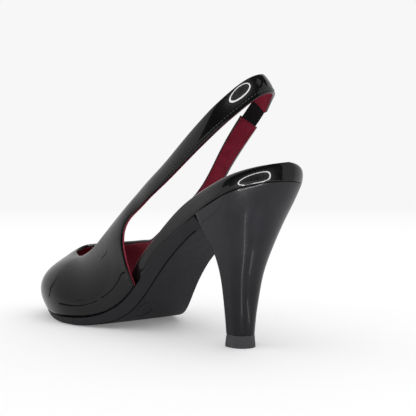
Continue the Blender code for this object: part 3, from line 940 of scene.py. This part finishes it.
def makeFloor():
    bpy.ops.object.select_all(action="DESELECT")
    bpy.ops.mesh.primitive_circle_add(vertices=64, radius=studio["floorWide"], fill_type="NGON",
                                      location=(0, 0, 0))
    floor = bpy.context.object
    floor.name = "floor"
    finish, nodes, links, shader = newFinish("pale floor")
    place = objectPlace(nodes)
    size, darkest = studio["floorCloud"]
    cloud = noiseOn(nodes, links, place, size)
    tone = studio["floor"]
    pale = rampOf(nodes, links, cloud, tuple(c * darkest for c in tone), tone)
    path = nodes.new("ShaderNodeLightPath")
    inShine = tuple(c * studio["floorShine"] for c in tone)
    sheet = mixOf(nodes, links, path.outputs["Is Glossy Ray"], pale, inShine)
    # the floor glows a little, painted light that keeps the shadow thin, and glows fully far off, which
    # hides the far edge
    away = nodes.new("ShaderNodeVectorMath")
    away.operation = "LENGTH"
    links.new(place, away.inputs[0])
    paintedGlow = rangeOf(nodes, links, away.outputs["Value"], studio["paintedFloorGlow"], 1.0, *studio["floorFade"])
    lit = mathOf(nodes, links, "SUBTRACT", 1.0, paintedGlow)
    links.new(scaledBy(nodes, links, sheet, lit), shader.inputs["Base Color"])
    links.new(sheet, shader.inputs["Emission Color"])
    links.new(paintedGlow, shader.inputs["Emission Strength"])
    setShader(shader, studio["floorShader"])
    floor.data.materials.append(finish)


def makeSurround():
    world = bpy.data.worlds.new("white tent")
    bpy.context.scene.world = world
    world.use_nodes = True
    nodes = world.node_tree.nodes
    links = world.node_tree.links
    nodes.clear()
    out = nodes.new("ShaderNodeOutputWorld")
    path = nodes.new("ShaderNodeLightPath")
    shells = {}
    for name in ("soft", "tent", "seen"):
        shells[name] = nodes.new("ShaderNodeBackground")
        shells[name].inputs["Color"].default_value = (1, 1, 1, 1)
        shells[name].inputs["Strength"].default_value = studio[name]
    mixGloss = nodes.new("ShaderNodeMixShader")
    links.new(path.outputs["Is Glossy Ray"], mixGloss.inputs["Fac"])
    links.new(shells["soft"].outputs["Background"], mixGloss.inputs[1])
    links.new(shells["tent"].outputs["Background"], mixGloss.inputs[2])
    mixBack = nodes.new("ShaderNodeMixShader")
    links.new(path.outputs["Is Camera Ray"], mixBack.inputs["Fac"])
    links.new(mixGloss.outputs["Shader"], mixBack.inputs[1])
    links.new(shells["seen"].outputs["Background"], mixBack.inputs[2])
    links.new(mixBack.outputs["Shader"], out.inputs["Surface"])


def onlyInGloss(thing):
    # a card or lamp that shapes the reflections and is never seen itself
    thing.visible_camera = False
    thing.visible_diffuse = False
    thing.visible_shadow = False


def plainGlow(name, strength):
    glow = bpy.data.materials.new(name)
    glow.use_nodes = True
    nodes = glow.node_tree.nodes
    nodes.clear()
    out = nodes.new("ShaderNodeOutputMaterial")
    light = nodes.new("ShaderNodeEmission")
    light.inputs["Color"].default_value = (1, 1, 1, 1)
    light.inputs["Strength"].default_value = strength
    glow.node_tree.links.new(light.outputs["Emission"], out.inputs["Surface"])
    return glow


# from, to: turn of the front cloth; low: height and turn where its foot is cut back on the left;
# foot: height and turn where it runs on to the right; side: height and turn of the upper cloth at the right;
# windows: gaps in that upper cloth, each two turns and two heights
hood = {
    "centre": (-0.090, 0.010, 0.0), "wide": 0.29, "tall": 0.62, "from": -94.0, "to": 51.0, "topHole": 0.03,
    "low": (0.05, -72.0), "foot": (0.2, 60.0), "side": (0.30, 150.0),
    "windows": ((55, 115, 0.31, 0.375), (70, 115, 0.42, 0.495)), "glow": 0.004,
}


def hoodKeeps(spot, turn):
    lowHeight, lowFrom = hood["low"]
    footHeight, footTo = hood["foot"]
    sideHeight, sideTo = hood["side"]
    front = spot.z > 0 and hood["from"] < turn < (footTo if spot.z < footHeight else hood["to"])
    front = front and (spot.z > lowHeight or turn > lowFrom)
    side = hood["to"] <= turn < sideTo and spot.z > sideHeight
    for first, last, low, high in hood["windows"]:
        side = side and not (first < turn < last and low < spot.z < high)
    return (front or side) and spot.xy.length > hood["topHole"]


def makeHood():
    bpy.ops.object.select_all(action="DESELECT")
    bpy.ops.mesh.primitive_uv_sphere_add(segments=144, ring_count=48, radius=1.0, location=(0, 0, 0))
    cloth = bpy.context.object
    cloth.name = "darkHood"
    cloth.data.transform(Matrix.Diagonal((hood["wide"], hood["wide"], hood["tall"], 1.0)))
    back = directionFrom(0, 0)
    right = directionFrom(90, 0)
    keep = []
    for face in cloth.data.polygons:
        turn = math.degrees(math.atan2(face.center.dot(right), face.center.dot(back)))
        keep.append(hoodKeeps(face.center, turn))
    deleteFaces(cloth, keep)
    cloth.data.transform(Matrix.Translation(hood["centre"]))
    cloth.data.materials.append(plainGlow("black cloth", hood["glow"]))
    onlyInGloss(cloth)


# each ring lamp hangs off the spot that it aims at, and shows only on the pieces listed
lamps = {
    "rimRing": {"aim": (-0.1109, 0.0168, 0.0946), "turn": -8.0, "rise": -14.0, "away": 0.090,
                "shift": (-0.0037, 0.0018), "radii": (0.0778, 0.0368), "tilt": 11.5, "tube": 0.0034,
                "power": 24.0, "on": ("covered_rim", "heel_block")},
    "strapRing": {"aim": (-0.0916, 0.0109, 0.1409), "turn": -22.0, "rise": 50.0, "away": 0.250,
                  "shift": (-0.0055, 0.0061), "radii": (0.1138, 0.0792), "tilt": 43.8, "tube": 0.0085,
                  "power": 24.0, "on": ("patent_upper",)},
}


def makeRing(name):
    lamp = lamps[name]
    way = directionFrom(lamp["turn"], lamp["rise"])
    right = way.cross(Vector((0, 0, 1))).normalized()
    if right.dot(directionFrom(90, 0)) < 0:
        right = -right
    up = right.cross(way).normalized()
    if up.z < 0:
        up = -up
    middle = Vector(lamp["aim"]) + way * lamp["away"] + right * lamp["shift"][0] + up * lamp["shift"][1]
    ring = ovalTorus(name, 96)
    for corner in ring.data.vertices:
        along, across, rise = ovalSpot(corner.co, lamp["radii"], lamp["tube"], lamp["tilt"])
        corner.co = middle + right * along + up * across + way * (rise * lamp["tube"])
    ring.data.materials.append(plainGlow(name + " glow", lamp["power"]))
    lit = bpy.data.collections.new(name + " shows on")
    for pieceName in lamp["on"]:
        lit.objects.link(bpy.data.objects[pieceName])
    ring.light_linking.receiver_collection = lit
    onlyInGloss(ring)


# narrow cards seen only in the shine: middle line, width, and the spot each one faces, or else upward
upward = Vector((0, 0, 1))
cards = {
    "sideFlag": {"line": ((0.079, 0.069, 0.003), (0.067, 0.093, 0.003), (0.070, 0.150, 0.003),
                          (0.077, 0.184, 0.003), (0.094, 0.226, 0.003)),
                 "wide": (0.0036, 0.0056, 0.0056, 0.0056, 0.0070), "face": (0.020, 0.034, 0.018),
                 "glow": 0.01},
    "tentSeam": {"line": ((0.0799, 0.0468, 0.0505), (0.0812, 0.0535, 0.0450), (0.0820, 0.0570, 0.0386),
                          (0.0852, 0.0585, 0.0280), (0.0880, 0.0575, 0.0174), (0.0914, 0.0515, 0.0090)),
                 "wide": (0.0008, 0.0018, 0.0022, 0.0022, 0.0022, 0.0012), "face": (0.060, 0.040, 0.026),
                 "glow": 0.02},
    "heelStreakCard": {"line": ((-0.117, 0.031, 0.002), (-0.135, 0.052, 0.002)), "wide": (0.005, 0.005),
                       "glow": 5.0},
    "heelEdgeCard": {"line": ((-0.122, -0.017, 0.002), (-0.145, 0.006, 0.002)), "wide": (0.005, 0.005),
                     "glow": 5.0},
}


def makeCard(name):
    card = cards[name]
    line = [Vector(spot) for spot in card["line"]]
    points = []
    for k, spot in enumerate(line):
        along = line[min(k + 1, len(line) - 1)] - line[max(k - 1, 0)]
        toward = Vector(card["face"]) - spot if "face" in card else upward
        side = along.cross(toward).normalized() * card["wide"][k] * 0.5
        points += [spot - side, spot + side]
    faces = [(2 * k, 2 * k + 1, 2 * k + 3, 2 * k + 2) for k in range(len(line) - 1)]
    mesh = bpy.data.meshes.new(name)
    mesh.from_pydata(points, [], faces)
    piece = bpy.data.objects.new(name, mesh)
    bpy.context.collection.objects.link(piece)
    mesh.materials.append(plainGlow(name + " tone", card["glow"]))
    onlyInGloss(piece)


def makeCamera():
    a = math.radians(studio["turn"])
    p = math.radians(studio["dip"])
    look = Vector((math.cos(a) * math.cos(p), -math.sin(a) * math.cos(p), -math.sin(p)))
    bpy.ops.object.select_all(action="DESELECT")
    bpy.ops.object.camera_add(location=studio["cameraAt"], rotation=look.to_track_quat("-Z", "Y").to_euler())
    camera = bpy.context.object
    camera.name = "photo camera"
    camera.data.sensor_width = studio["sensor"]
    camera.data.lens = studio["lens"]
    camera.data.clip_start = 0.01
    bpy.context.scene.camera = camera


makeFloor()
makeSurround()
makeHood()
for lampName in lamps:
    makeRing(lampName)
for cardName in cards:
    makeCard(cardName)
makeCamera()
bpy.context.scene.view_settings.view_transform = "Standard"
print("studio ready")
